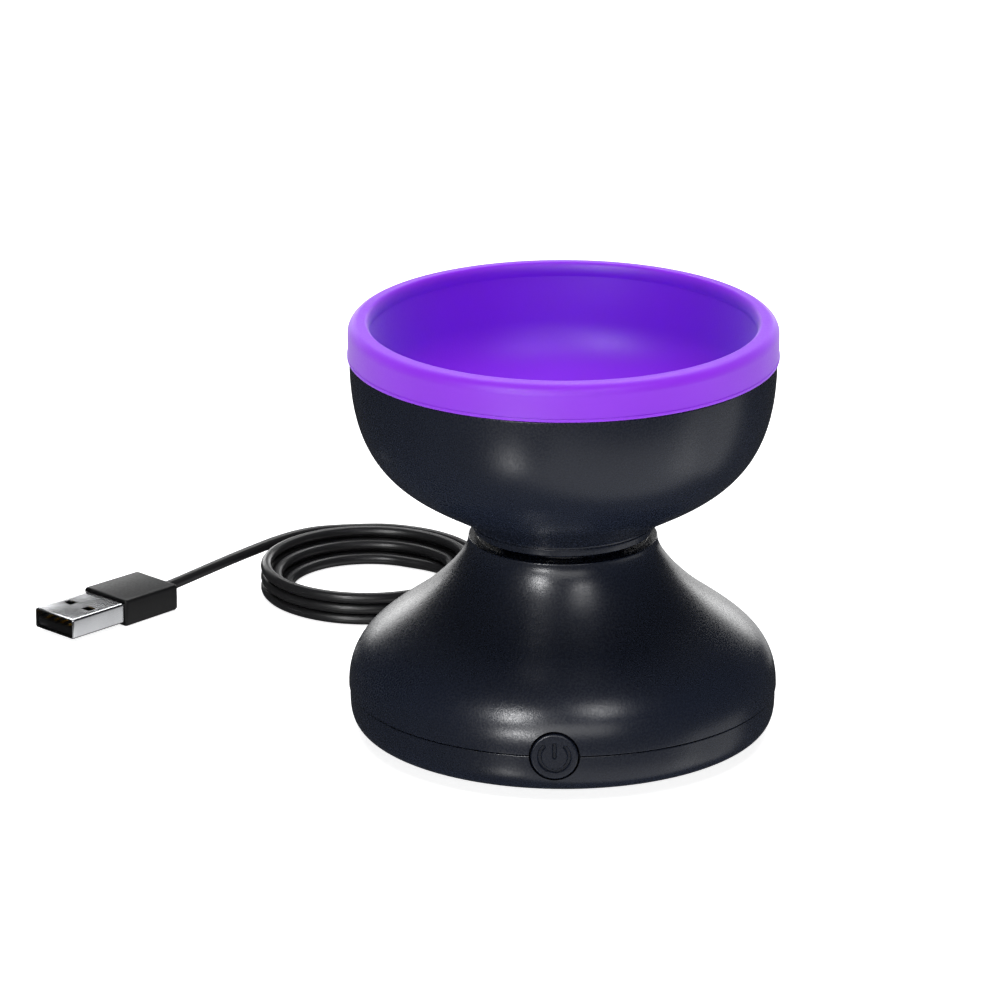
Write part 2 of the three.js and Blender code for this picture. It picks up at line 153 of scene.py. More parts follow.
def outline(corners, steps=4):
    """Points of a closed or open outline. A corner is (r, z), or (r, z, fillet) to round it off."""
    points = []
    for i, corner in enumerate(corners):
        if len(corner) == 2:
            points.append(corner)
            continue
        here = Vector(corner[:2])
        back = Vector(corners[i - 1][:2]) - here
        ahead = Vector(corners[(i + 1) % len(corners)][:2]) - here
        half = back.angle(ahead) / 2
        reach = min(corner[2] / math.tan(half), back.length * 0.49, ahead.length * 0.49)
        start, end = here + back.normalized() * reach, here + ahead.normalized() * reach
        for k in range(steps + 1):
            t = k / steps
            points.append(tuple(start * (1 - t) ** 2 + here * 2 * t * (1 - t) + end * t * t))
    return points


def around(count, radius, start_degrees):
    """Places spaced evenly on a circle."""
    angles = [math.radians(start_degrees + 360 * i / count) for i in range(count)]
    return [(radius * math.cos(a), radius * math.sin(a)) for a in angles]


# ---------------------------------------------------------------- mesh making

def mesh_object(name, vertices, faces):
    mesh = bpy.data.meshes.new(name)
    mesh.from_pydata([Vector(v) * MM for v in vertices], [], faces)
    made = bmesh.new()
    made.from_mesh(mesh)
    bmesh.ops.recalc_face_normals(made, faces=made.faces)
    made.to_mesh(mesh)
    made.free()
    obj = bpy.data.objects.new(name, mesh)
    bpy.context.scene.collection.objects.link(obj)
    return obj


def revolve(name, points, segments=TURN):
    """Turned solid about Z, from (radius, z) points that run from axis to axis or right round."""
    vertices, rings = [], []
    for r, z in points:
        if r < ON_AXIS:
            rings.append([len(vertices)])
            vertices.append((0, 0, z))
        else:
            rings.append(list(range(len(vertices), len(vertices) + segments)))
            vertices += [(r * math.cos(2 * math.pi * i / segments),
                          r * math.sin(2 * math.pi * i / segments), z) for i in range(segments)]
    pairs = list(zip(rings, rings[1:]))
    if len(rings[0]) > 1:
        pairs.append((rings[-1], rings[0]))
    faces = []
    for low, high in pairs:
        for i in range(segments):
            j = (i + 1) % segments
            corners = (low[i % len(low)], low[j % len(low)],
                       high[j % len(high)], high[i % len(high)])
            face = list(dict.fromkeys(corners))
            if len(face) > 2:
                faces.append(face)
    return mesh_object(name, vertices, faces)


def loft(name, sections):
    """Solid through closed sections of the same number of (x, y, z) points, capped at both ends."""
    count = len(sections[0])
    vertices = [p for section in sections for p in section]
    faces = [list(range(count))[::-1], list(range(len(vertices) - count, len(vertices)))]
    for s in range(len(sections) - 1):
        for i in range(count):
            j = (i + 1) % count
            faces.append([s * count + i, s * count + j, (s + 1) * count + j, (s + 1) * count + i])
    return mesh_object(name, vertices, faces)


def prism(name, points, low, high):
    """Upright solid over (x, y) points between two heights."""
    return loft(name, [[(x, y, z) for x, y in points] for z in (low, high)])


def round_bar(name, radius, low, high, at=(0, 0), segments=TURN):
    return prism(name, [(at[0] + x, at[1] + y) for x, y in around(segments, radius, 0)], low, high)


def block(name, low, high):
    corners = [(low[0], low[1]), (high[0], low[1]), (high[0], high[1]), (low[0], high[1])]
    return prism(name, corners, low[2], high[2])


def rounded_box(half_x, half_y, radius, steps=5):
    """(x, y) points of a rectangle with round corners, anticlockwise."""
    points = []
    for quarter, (sx, sy) in enumerate(((1, 1), (-1, 1), (-1, -1), (1, -1))):
        centre = (sx * (half_x - radius), sy * (half_y - radius))
        points += arc(centre, (radius, radius), 90 * quarter, 90 * quarter + 90, steps)
    return points


def turn_to_y(obj):
    """Turns a piece made about Z so that its axis lies along +Y."""
    obj.data.transform(Matrix.Rotation(-math.pi / 2, 4, "X"))
    return obj


def shift(obj, x, y, z):
    obj.data.transform(Matrix.Translation(Vector((x, y, z)) * MM))
    return obj


def revolve_at(name, points, at, segments=48):
    return shift(revolve(name, points, segments), at[0], at[1], 0)


def bake_modifiers(obj):
    depsgraph = bpy.context.evaluated_depsgraph_get()
    mesh = bpy.data.meshes.new_from_object(obj.evaluated_get(depsgraph))
    obj.modifiers.clear()
    obj.data = mesh


def combine(obj, operation, *others):
    """Cuts the other solids out of obj, or joins them to it, and removes them."""
    for other in others:
        modifier = obj.modifiers.new(operation, "BOOLEAN")
        modifier.operation = operation
        modifier.solver = "MANIFOLD"
        modifier.object = other
        bake_modifiers(obj)
        bpy.data.objects.remove(other)
    return obj


def cut(obj, *others):
    return combine(obj, "DIFFERENCE", *others)


def join(obj, *others):
    return combine(obj, "UNION", *others)


def smooth(obj, sharp_degrees=SHARP):
    for polygon in obj.data.polygons:
        polygon.use_smooth = True
    obj.data.set_sharp_from_angle(angle=math.radians(sharp_degrees))


def place(obj, body, slot, *nodes):
    """Gives a piece its body, the slot and its material, and the CAD nodes that it stands for."""
    smooth(obj)
    obj.data.materials.clear()
    obj.data.materials.append(MATERIALS[slot])
    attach(obj, body)
    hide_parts(*nodes)
    return obj


# ---------------------------------------------------------------- materials

FINE_GRAIN = 2300     # features per metre of the grain on the moulded shells


class Nodes:
    """A material's node tree with short ways to add what the materials here need."""

    def __init__(self, name, color, roughness, metallic=0.0):
        self.material = bpy.data.materials.new(name)
        self.material.use_nodes = True
        self.tree = self.material.node_tree
        self.shader = self.tree.nodes["Principled BSDF"]
        self.set("Base Color", (*color, 1))
        self.set("Roughness", roughness)
        self.set("Metallic", metallic)
        self.place = self.tree.nodes.new("ShaderNodeTexCoord").outputs["Object"]
        self.material.diffuse_color = (*color, 1)

    def set(self, socket, value):
        self.shader.inputs[socket].default_value = value
        return self

    def noise(self, per_metre, detail=2.0, stretch=(1, 1, 1)):
        """Noise in the object's own space, with features about 1 / per_metre metres across."""
        place = self.place
        if stretch != (1, 1, 1):
            mapping = self.tree.nodes.new("ShaderNodeMapping")
            mapping.inputs["Scale"].default_value = stretch
            self.tree.links.new(place, mapping.inputs["Vector"])
            place = mapping.outputs["Vector"]
        noise = self.tree.nodes.new("ShaderNodeTexNoise")
        noise.inputs["Scale"].default_value = per_metre
        noise.inputs["Detail"].default_value = detail
        self.tree.links.new(place, noise.inputs["Vector"])
        return noise.outputs["Fac"]

    def spread(self, value, low, high, start=0.3, end=0.7):
        """Maps a noise value to a range, for a shader socket."""
        ramp = self.tree.nodes.new("ShaderNodeMapRange")
        ramp.inputs["From Min"].default_value = start
        ramp.inputs["From Max"].default_value = end
        ramp.inputs["To Min"].default_value = low
        ramp.inputs["To Max"].default_value = high
        self.tree.links.new(value, ramp.inputs["Value"])
        return ramp.outputs["Result"]

    def roughness(self, value, low, high):
        self.tree.links.new(self.spread(value, low, high), self.shader.inputs["Roughness"])
        return self

    def two_tone(self, value, dark, light, start=0.3, end=0.7):
        """Colour that varies between two tones with a noise value."""
        ramp = self.tree.nodes.new("ShaderNodeValToRGB")
        ramp.color_ramp.elements[0].position = start
        ramp.color_ramp.elements[1].position = end
        ramp.color_ramp.elements[0].color = (*dark, 1)
        ramp.color_ramp.elements[1].color = (*light, 1)
        self.tree.links.new(value, ramp.inputs["Fac"])
        self.tree.links.new(ramp.outputs["Color"], self.shader.inputs["Base Color"])
        return self

    def bump(self, *layers):
        """Relief from (value, depth in mm) layers, each laid over the one before."""
        normal = None
        for value, depth in layers:
            node = self.tree.nodes.new("ShaderNodeBump")
            node.inputs["Strength"].default_value = 1.0
            node.inputs["Distance"].default_value = depth * MM
            self.tree.links.new(value, node.inputs["Height"])
            if normal is not None:
                self.tree.links.new(normal, node.inputs["Normal"])
            normal = node.outputs["Normal"]
        self.tree.links.new(normal, self.shader.inputs["Normal"])
        return self


def navy_plastic():
    """Satin moulded housing: near-black navy with a fine spark-eroded grain."""
    m = Nodes("navy_plastic", (0.0088, 0.0118, 0.0220), 0.28)
    m.set("Specular IOR Level", 0.45)
    grain, cloud = m.noise(FINE_GRAIN, 3), m.noise(60, 2)
    m.two_tone(cloud, (0.0083, 0.0111, 0.0209), (0.0093, 0.0125, 0.0231))
    m.roughness(grain, 0.23, 0.32)
    m.bump((m.noise(420, 2), 0.004), (grain, 0.019))
    return m.material


def purple_silicone():
    """Soft silicone: saturated, matt and a little translucent, with a fine moulded grain."""
    m = Nodes("purple_silicone", (0.262, 0.011, 0.80), 0.46)
    m.set("Subsurface Weight", 0.12)
    m.set("Subsurface Radius", (0.6, 0.1, 1.0))
    m.set("Subsurface Scale", 0.0012)
    m.set("Sheen Weight", 0.25)
    m.set("Sheen Roughness", 0.5)
    m.set("Specular IOR Level", 0.42)
    grain, cloud = m.noise(FINE_GRAIN, 3), m.noise(45, 2)
    m.two_tone(cloud, (0.255, 0.010, 0.78), (0.269, 0.012, 0.82))
    m.roughness(grain, 0.40, 0.54)
    m.bump((m.noise(350, 2), 0.005), (grain, 0.016))
    return m.material


def black_pvc():
    """Smooth cable jacket with a slight waviness from extrusion."""
    m = Nodes("black_pvc", (0.011, 0.011, 0.012), 0.34)
    m.set("Specular IOR Level", 0.4)
    m.two_tone(m.noise(90, 2), (0.010, 0.010, 0.011), (0.012, 0.012, 0.013))
    m.roughness(m.noise(150, 2), 0.31, 0.38)
    m.bump((m.noise(120, 1), 0.008))
    return m.material


def plug_black():
    """Moulded plug body: satin black with a fine grain."""
    m = Nodes("plug_black", (0.0065, 0.0065, 0.0070), 0.36)
    m.set("Specular IOR Level", 0.2)
    m.two_tone(m.noise(90, 2), (0.0060, 0.0060, 0.0065), (0.0070, 0.0070, 0.0075))
    m.roughness(m.noise(1500, 3), 0.32, 0.42)
    m.bump((m.noise(3200, 2), 0.004))
    return m.material


def black_rubber():
    m = Nodes("black_rubber", (0.018, 0.018, 0.019), 0.78)
    m.two_tone(m.noise(300, 3), (0.015, 0.015, 0.016), (0.024, 0.024, 0.025))
    m.roughness(m.noise(1200, 3), 0.70, 0.86)
    m.bump((m.noise(2400, 3), 0.02))
    return m.material


def metal(name, color, roughness, brushing=(1, 1, 1), depth=0.002):
    """Bare or plated metal. Its fine scratches are drawn out along the axes where brushing is
    below 1, and run all ways where it is 1 throughout."""
    m = Nodes(name, color, roughness, 1.0)
    lines = m.noise(1400, 3, brushing)
    dark = tuple(c * 0.92 for c in color)
    m.two_tone(m.noise(120, 2), dark, color)
    m.roughness(lines, roughness * 0.9, roughness * 1.1)
    m.bump((lines, depth))
    return m.material


def moulded(name, color, roughness):
    """Plain moulded plastic for pieces inside the housing."""
    m = Nodes(name, color, roughness)
    m.two_tone(m.noise(150, 2), tuple(c * 0.9 for c in color), color)
    m.roughness(m.noise(1500, 2), roughness * 0.85, min(roughness * 1.15, 1))
    m.bump((m.noise(2000, 2), 0.006))
    return m.material


MATERIALS = {
    "navy_plastic": navy_plastic(),
    "purple_silicone": purple_silicone(),
    "black_rubber": black_rubber(),
    "black_pvc": black_pvc(),
    "plug_black": plug_black(),
    "plug_steel": metal("plug_steel", (0.66, 0.67, 0.69), 0.22, depth=0.0004),
    "gold_contact": metal("gold_contact", (0.90, 0.62, 0.20), 0.24),
    "motor_steel": metal("motor_steel", (0.52, 0.53, 0.55), 0.30, (0.1, 0.1, 1)),
    "screw_steel": metal("screw_steel", (0.50, 0.50, 0.52), 0.28),
    "copper": metal("copper", (0.62, 0.28, 0.14), 0.34, (0.1, 0.1, 1), 0.01),
    "brass_tab": metal("brass_tab", (0.72, 0.55, 0.25), 0.32),
    "magnet": moulded("magnet", (0.035, 0.035, 0.038), 0.7),
    "white_nylon": moulded("white_nylon", (0.72, 0.71, 0.66), 0.5),
    "green_board": moulded("green_board", (0.015, 0.13, 0.045), 0.38),
    "chip_black": moulded("chip_black", (0.016, 0.016, 0.017), 0.55),
    "red_sleeve": moulded("red_sleeve", (0.45, 0.015, 0.012), 0.35),
}
SLOT_OF = {row["node"]: row["material_slot"] for row in frame["record"]["subparts"]}


# ---------------------------------------------------------------- USB lead

# Routes of the lead's middle, given point by point. This one, the same as the CAD model's, goes out
# of the base to the back of the coil.
TAIL_ROUTE = [(0, 57.6, 6.6), (0, 61.5, 6.3), (0.4, 66, 4.9), (2, 70.5, 3.1), (5.2, 74.9, 1.75),
              (9.6, 79, 1.25), (14, 83.6, 1.25), (17.2, 89.2, 1.25), (18.2, 95.4, 1.25),
              (16.4, 101.3, 1.25), (11.8, 106.1, 1.25), (5.4, 109, 1.25), (-2.4, 110.3, 1.25),
              (-11, 110.5, 1.25), (-20, 110, 1.25), (-29, 109.2, 1.25), (-37.5, 108.5, 1.25)]
# From the top of the coil to the plug.
LEAD_ROUTE = [(-56.6, 107.2, 5.5), (-62.3, 104.1, 5.5), (-67, 99.6, 5.45), (-71.4, 94.3, 5.3),
              (-76, 88.9, 4.95), (-80.6, 83.8, 4.4), (-85, 79.2, 3.75), (-88.9, 75.2, 3.2),
              (-91.6, 72.23, 3.05)]
# The coil starts one ring outside its own, on the floor. Each change is (from, to, ring, layer):
# between two angles the lead moves to another ring, counted inwards, and another layer.
COIL_START, COIL_END, COIL_STEP = 90, 2265, 15
COIL_CHANGES = [(110, 155, 0, 0), (380, 425, 1, 0), (740, 785, 2, 0), (1070, 1115, 1, 1),
                (1430, 1475, 0, 1), (1770, 1815, 0, 2), (2112, 2155, -1, 1.9)]
COIL_LIFT = 0.05      # keeps the lowest turns clear of the table


def coil_point(angle):
    """Middle of the lead at an angle along the coil, counted from its first turn."""
    ring, layer = -1, 0
    for start, end, next_ring, next_layer in COIL_CHANGES:
        t = min(max((angle - start) / (end - start), 0), 1)
        t = t * t * (3 - 2 * t)
        if next_ring < ring and next_layer > layer and t < 1:
            # It rises round the turn that it comes to lie on.
            ring = next_ring + (ring - next_ring) * math.cos(t * math.pi / 2)
            layer = layer + (next_layer - layer) * math.sin(t * math.pi / 2)
        else:
            ring, layer = ring + (next_ring - ring) * t, layer + (next_layer - layer) * t
        if t < 1:
            break
    radius = COIL_R - ring * COIL_PITCH
    turn = math.radians(angle)
    return (COIL_CENTRE[0] + radius * math.cos(turn), COIL_CENTRE[1] + radius * math.sin(turn),
            CORD_D * (layer + 0.5) + COIL_LIFT)


def smooth_route(points, steps):
    """Catmull-Rom curve through points, with a number of steps between each two."""
    points = [Vector(p) for p in points]
    padded = [points[0] * 2 - points[1]] + points + [points[-1] * 2 - points[-2]]
    route = []
    for a, b, c, d in zip(padded, padded[1:], padded[2:], padded[3:]):
        for i in range(steps):
            t = i / steps
            route.append(0.5 * (b * 2 + (c - a) * t + (a * 2 - b * 5 + c * 4 - d) * t * t
                                + (b * 3 - a - c * 3 + d) * t ** 3))
    route.append(points[-1])
    return route


def make_cord():
    coil = [coil_point(a) for a in range(COIL_START, COIL_END, COIL_STEP)]
    route = smooth_route(TAIL_ROUTE + coil + LEAD_ROUTE, steps=5)
    data = bpy.data.curves.new("usb_cord", "CURVE")
    data.dimensions = "3D"
    data.bevel_depth = CORD_D / 2 * MM
    data.bevel_resolution = 6
    data.use_fill_caps = True
    spline = data.splines.new("POLY")
    spline.points.add(len(route) - 1)
    for point, middle in zip(spline.points, route):
        point.co = (*(middle * MM), 1)
    spline.use_smooth = True
    data.materials.append(MATERIALS["black_pvc"])
    cord = bpy.data.objects.new("usb_cord", data)
    bpy.context.scene.collection.objects.link(cord)
    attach(cord, "base")
    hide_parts("cord_tail", "cord_coil", "cord_lead")
    return cord


usb_cord = make_cord()


def make_strain_relief():
    """Tapered sleeve with flex grooves, and the collar that grips the wall of the base."""
    corners = [(0, 39.0), (2.9, 39.0, 0.3), (2.9, 40.4, 0.2), (2.0, 40.4), (2.0, 44.5),
               (3.2, 44.5, 0.2), (3.2, 45.6, 0.3), (2.75, 45.6, 0.1)]
    start_y, start_r, narrowing, length = 45.6, 2.72, 0.92, 11.7
    first, last, count = 46.4, 56.0, 6
    pitch = (last - first) / count
    for i in range(count):
        y = first + i * pitch
        radius = start_r - narrowing * (y - start_y) / length
        corners += [(radius, y, 0.15), (radius - 0.45, y + 0.15, 0.1),
                    (radius - 0.5, y + pitch * 0.42, 0.1), (radius - 0.06, y + pitch * 0.5, 0.15)]
    corners += [(1.80, 56.4, 0.1), (1.72, 57.3, 0.25), (0, 57.3)]
    relief = turn_to_y(revolve("strain_relief_sleeve", outline(corners, 3), 48))
    shift(relief, 0, 0, CORD_EXIT[2])
    return place(relief, "base", "black_pvc", "strain_relief")


strain_relief = make_strain_relief()


# ---------------------------------------------------------------- USB plug

# In the plug's own frame, where it points along +X: across is Y and up is Z.
OVERMOLD_HALF = (6.7, 3.0)
OVERMOLD_LENGTH = 15.5
SLEEVE_HALF = (6.0, 2.25)
SLEEVE_SHEET = 0.32
TONGUE_HALF = (5.5, 0.95)
TONGUE_Z = -0.75
CONTACT_Y = (-3.5, -1.0, 1.0, 3.5)


def to_plug(obj):
    """Moves a piece from the plug's own frame, where it points along +X, to its place."""
    obj.data.transform(Matrix.Rotation(math.radians(PLUG_HEADING), 4, "Z"))
    return shift(obj, PLUG_REAR[0], PLUG_REAR[1], PLUG_Z)


def along_x(name, stations):
    """Loft along +X through (x, [(y, z) points]) stations."""
    return loft(name, [[(x, y, z) for y, z in points] for x, points in stations])


def make_overmold():
    half_w, half_h = OVERMOLD_HALF
    stations = []
    for x, shrink in ((0.0, 0.5), (0.08, 0.3), (0.25, 0.12), (0.5, 0.03), (0.9, 0.0), (14.7, 0.0),
                      (15.15, 0.03), (15.4, 0.13), (15.5, 0.28)):
        taper = 0.2 * (1 - x / OVERMOLD_LENGTH)
        stations.append((x, rounded_box(half_w - shrink - taper, half_h - shrink - taper * 0.3,
                                        0.7 - shrink * 0.4)))
    body = along_x("plug_body", stations)
    pocket = block("pocket", (8.5, -6.12, -2.37), (17, 6.12, 2.37))
    neck_hole = along_x("neck_hole", [(x, around(40, CORD_D / 2, 0)) for x in (-1, 1.5)])
    cut(body, pocket, neck_hole)
    return place(to_plug(body), "base", "plug_black", "plug_overmold")


def make_plug_shell():
    """Folded sheet sleeve with rolled corners, latch windows and a joint line underneath."""
    half_w, half_h = SLEEVE_HALF
    hollow = rounded_box(half_w - SLEEVE_SHEET, half_h - SLEEVE_SHEET, 0.35)
    tip = ((29.9, 0.0), (30.3, 0.05), (30.5, 0.14))
    outer = along_x("plug_sleeve", [(8.8, rounded_box(half_w, half_h, 0.5))]
                    + [(x, rounded_box(half_w - s, half_h - s, 0.5)) for x, s in tip])
    cut(outer, along_x("hollow", [(8, hollow), (33, hollow)]))
    for side in (-1, 1):
        window = [(23 + x, side * 2.9 + y) for x, y in rounded_box(1.1, 1.25, 0.2, 3)]
        cut(outer, prism("window", window, -4, 4))
    cut(outer, block("joint_line", (8, -0.06, -3), (32, 0.06, -1.5)))
    return place(to_plug(outer), "base", "plug_steel", "plug_shell")


def make_tongue():
    half_w, half_h = TONGUE_HALF
    stations = []
    for x, shrink in ((9.1, 0.0), (29.6, 0.0), (29.9, 0.1), (30.0, 0.25)):
        section = rounded_box(half_w - shrink, half_h - shrink, 0.12)
        stations.append((x, [(y, z + TONGUE_Z) for y, z in section]))
    tongue = along_x("plug_tongue_block", stations)
    for y in CONTACT_Y:
        cut(tongue, block("contact_slot", (19.9, y - 0.62, 0.08), (30.5, y + 0.62, 0.5)))
    return place(to_plug(tongue), "base", "plug_black", "plug_tongue")


def make_contact(number, y):
    """Gold strip that rises to a rounded crown near its front."""
    profile = [(20.2, 0.12), (21.5, 0.24), (25.0, 0.40), (27.2, 0.48), (28.4, 0.42), (29.3, 0.24)]
    stations = [(x, [(y - 0.5, 0.05), (y + 0.5, 0.05), (y + 0.5, z - 0.04), (y + 0.42, z),
                     (y - 0.42, z), (y - 0.5, z - 0.04)]) for x, z in profile]
    contact = along_x(f"contact_strip_{number}", stations)
    node = f"plug_contact_{number}"
    return place(to_plug(contact), "base", "gold_contact", node)


plug_pieces = [make_overmold(), make_plug_shell(), make_tongue()]
plug_pieces += [make_contact(i + 1, y) for i, y in enumerate(CONTACT_Y)]


# ---------------------------------------------------------------- base

def button_hole():
    return shift(turn_to_y(round_bar("button_hole", BUTTON_HOLE_R, -50, -38, segments=96)),
                 0, 0, BUTTON_Z)


def base_outline():
    lower = bezier((R_BODY, SEAM_Z + 0.4), (R_BODY, 18.6), (39.7, 21.7), (31.9, 27.3), 44)
    upper = bezier((31.9, 27.3), (26.9, 30.9), (NECK_R, 38.0), (NECK_R, NECK_Z - 0.5), 30)
    return lower + upper[1:]


def make_base_shell():
    outer = base_outline()
    inner = [p for p in inset(outer, WALL) if LIP_Z + 1 < p[1] < DECK_UNDER_Z - 1][::-2]
    rebate_r = R_BODY - 1.15
    foot = SEAM_Z + SEAM_GAP / 2
    shell = revolve("base_housing", outline([
        (R_BODY, foot, 0.22), *outer,
        (NECK_R, NECK_Z, 0.5), (17.6, NECK_Z, 0.3), (17.6, DECK_Z, 0.3),
        (13.2, DECK_Z, 0.3), (13.2, 45.4, 0.3), (11.8, 45.4, 0.3), (11.8, DECK_Z, 0.3),
        (3.4, DECK_Z, 0.2), (3.4, DECK_UNDER_Z, 0.2),
        (12.5, DECK_UNDER_Z), (12.5, 28, 0.3), (14.1, 28, 0.3), (14.1, DECK_UNDER_Z, 0.3),
        (17.3, DECK_UNDER_Z), *inner,
        (R_BODY - WALL, LIP_Z + SEAM_GAP), (rebate_r, LIP_Z + SEAM_GAP, 0.1), (rebate_r, foot, 0.1),
    ]), AROUND)
    core_points = inset(outer, WALL / 2)
    for x, y in around(4, SCREW_CIRCLE, 45):
        post = round_bar("post", 3.2, 6.3, 32, (x, y), 40)
        core = revolve("core", [(0, 0), (core_points[0][0], 0), *core_points,
                                (0, core_points[-1][1])], 96)
        combine(post, "INTERSECT", core)
        cut(post, round_bar("pilot", 1.25, 5, 14.5, (x, y), 32))
        join(shell, post)
    for side in (-1, 1):
        cut(shell, round_bar("motor_screw_hole", 1.3, 38, 43, (side * MOTOR_SCREW_X, 0), 32))
    cut(shell, button_hole())
    return place(shell, "base", "navy_plastic", "base_shell")


def make_bottom_cover():
    top = SEAM_Z - SEAM_GAP / 2
    outer = bezier((36.1, 1.0), (44.3, 1.0), (44.2, 4.1), (44.2, top - 0.3), 28)
    inner = inset(outer, COVER_WALL)[::-2]
    lip_r = R_BODY - 1.45
    cover = revolve("base_cover", outline([
        (0, 1.0), *outer, (44.2, top, 0.22), (lip_r, top, 0.1), (lip_r, LIP_Z, 0.2),
        (42.2, LIP_Z, 0.2), *inner, (0, 3.0),
    ]), AROUND)
    recess = [(0, 0), (3.2, 0), (3.2, 1.0), (3.0, 1.25), (3.0, 4.2), (1.6, 4.2), (1.6, 7), (0, 7)]
    for x, y in around(4, SCREW_CIRCLE, 45):
        join(cover, round_bar("boss", 4.6, 2, 6, (x, y), 48))
        cut(cover, revolve_at("screw_recess", recess, (x, y)))
    for x, y in around(4, FOOT_CIRCLE, 0):
        cut(cover, round_bar("foot_pocket", 5.3, 0, 1.8, (x, y), 64))
    for side in (-1, 1):
        low, high = sorted((10.5 * side, 14 * side))
        join(cover, block("board_post", (low, -35, 2), (high, -30, 9)))
    cut(cover, block("board_slot", (-12.3, -33.5, 3.3), (12.3, -31.3, 12)))
    cut(cover, button_hole())
    cut(cover, shift(turn_to_y(round_bar("cord_hole", 2.3, 38, 50, segments=48)),
                     0, 0, CORD_EXIT[2]))
    return place(cover, "base", "navy_plastic", "bottom_cover")


def make_foot(number, at):
    """Rubber foot with a rounded edge and a shallow dish underneath."""
    foot = revolve_at(f"foot_pad_{number}", outline([
        (0, 0.25), (3.2, 0.25, 0.3), (3.5, 0, 0.2), (4.6, 0, 0.3), (5.0, 0.5, 0.3), (5.0, 1.5, 0.1),
        (0, 1.5)]), at, TURN)
    node = f"rubber_foot_{number}"
    return place(foot, "base", "black_rubber", node)


THREAD_PITCH = 0.9


def make_screw(node, body, head_r, head_h, shank_r, length, base_z, at, head_up):
    """Pan-head screw with a cross recess and a thread. Its head is at the bottom unless head_up."""
    corners = [(0, 0), (head_r * 0.75, 0, 0.3), (head_r, head_h * 0.45, 0.3),
               (head_r, head_h, 0.08), (shank_r, head_h, 0.1)]
    pitch = THREAD_PITCH
    z = head_h + 0.6
    while z < length - 1.2:
        corners += [(shank_r - 0.12, z), (shank_r + 0.08, z + pitch * 0.35),
                    (shank_r + 0.08, z + pitch * 0.45), (shank_r - 0.12, z + pitch * 0.8)]
        z += pitch
    corners += [(shank_r - 0.1, length - 0.9), (0, length)]
    made = revolve(f"{node}_detail", outline(corners, 3), 40)
    arm, wide = head_r * 0.55, head_r * 0.14
    for turned in (False, True):
        half = (wide, arm) if turned else (arm, wide)
        slot = loft("cross", [[(x * k, y * k, z) for x, y in rounded_box(*half, wide * 0.5, 3)]
                              for k, z in ((1.0, -1), (0.9, head_h * 0.62))])
        cut(made, slot)
    if head_up:
        made.data.transform(Matrix.Rotation(math.pi, 4, "X"))
    shift(made, at[0], at[1], base_z)
    return place(made, body, "screw_steel", node)


make_base_shell()
make_bottom_cover()
for i, spot in enumerate(around(4, FOOT_CIRCLE, 0)):
    make_foot(i + 1, spot)
for i, spot in enumerate(around(4, SCREW_CIRCLE, 45)):
    make_screw(f"cover_screw_{i + 1}", "base", 2.6, 1.7, 1.2, 11, 2.2, spot, False)
for i, side in enumerate((-1, 1)):
    spot = (side * MOTOR_SCREW_X, 0)
    make_screw(f"motor_screw_{i + 1}", "base", 1.9, 1.2, 1.0, 5.8, 43.1, spot, True)


# ---------------------------------------------------------------- power button

ICON_R = 3.05
ICON_STROKE = 0.62
ICON_GAP = 46         # degrees on each side of the bar
ICON_DEPTH = 0.5
ICON_CHAMFER = 0.2
ICON_DRAFT = 0.04     # how much the groove narrows on each side towards its floor


def stroke_outline(path, half_width):
    """Closed (x, z) outline around an open path, with round ends."""
    left, right = [], []
    for i, (x, z) in enumerate(path):
        before, after = path[max(i - 1, 0)], path[min(i + 1, len(path) - 1)]
        along = Vector((after[0] - before[0], after[1] - before[1])).normalized()
        left.append((x - along.y * half_width, z + along.x * half_width))
        right.append((x + along.y * half_width, z - along.x * half_width))

    def cap(end, beyond, steps=6):
        centre = Vector(end)
        way = (centre - Vector(beyond)).angle_signed(Vector((1, 0)))
        return [tuple(centre + Vector((math.cos(way + a), math.sin(way + a))) * half_width)
                for a in (math.pi / 2 - math.pi * k / steps for k in range(1, steps))]

    return left + cap(path[-1], path[-2]) + right[::-1] + cap(path[0], path[1])


def engraving(name, path):
    """Cutter for a groove in the button's face, with chamfered edges and nearly upright sides."""
    sections = []
    for y, half_width in ((FACE_Y - ICON_CHAMFER, ICON_STROKE / 2 + 2 * ICON_CHAMFER),
                          (FACE_Y + ICON_CHAMFER, ICON_STROKE / 2),
                          (FACE_Y + ICON_DEPTH, ICON_STROKE / 2 - ICON_DRAFT)):
        sections.append([(x, y, z + BUTTON_Z) for x, z in stroke_outline(path, half_width)])
    return loft(name, sections)


def make_button():
    button = turn_to_y(revolve("button_cap", outline([
        (0, FACE_Y), (BUTTON_R, FACE_Y, 0.42), (BUTTON_R, -40.9, 0.1), (6.0, -40.9, 0.2),
        (6.0, -39.9, 0.2), (2.0, -39.9, 0.2), (2.0, -38.3, 0.2), (0, -38.3),
    ], 6), 96))
    shift(button, 0, 0, BUTTON_Z)
    ring = arc((0, 0), (ICON_R, ICON_R), 90 + ICON_GAP, 450 - ICON_GAP, 48)
    bar = [(0, 2.6), (0, 1.9), (0, 0.9), (0, -0.1)]
    cut(button, engraving("icon_ring", ring), engraving("icon_bar", bar))
    return place(button, "button", "navy_plastic", "power_button")


make_button()


# ---------------------------------------------------------------- spinning bowl

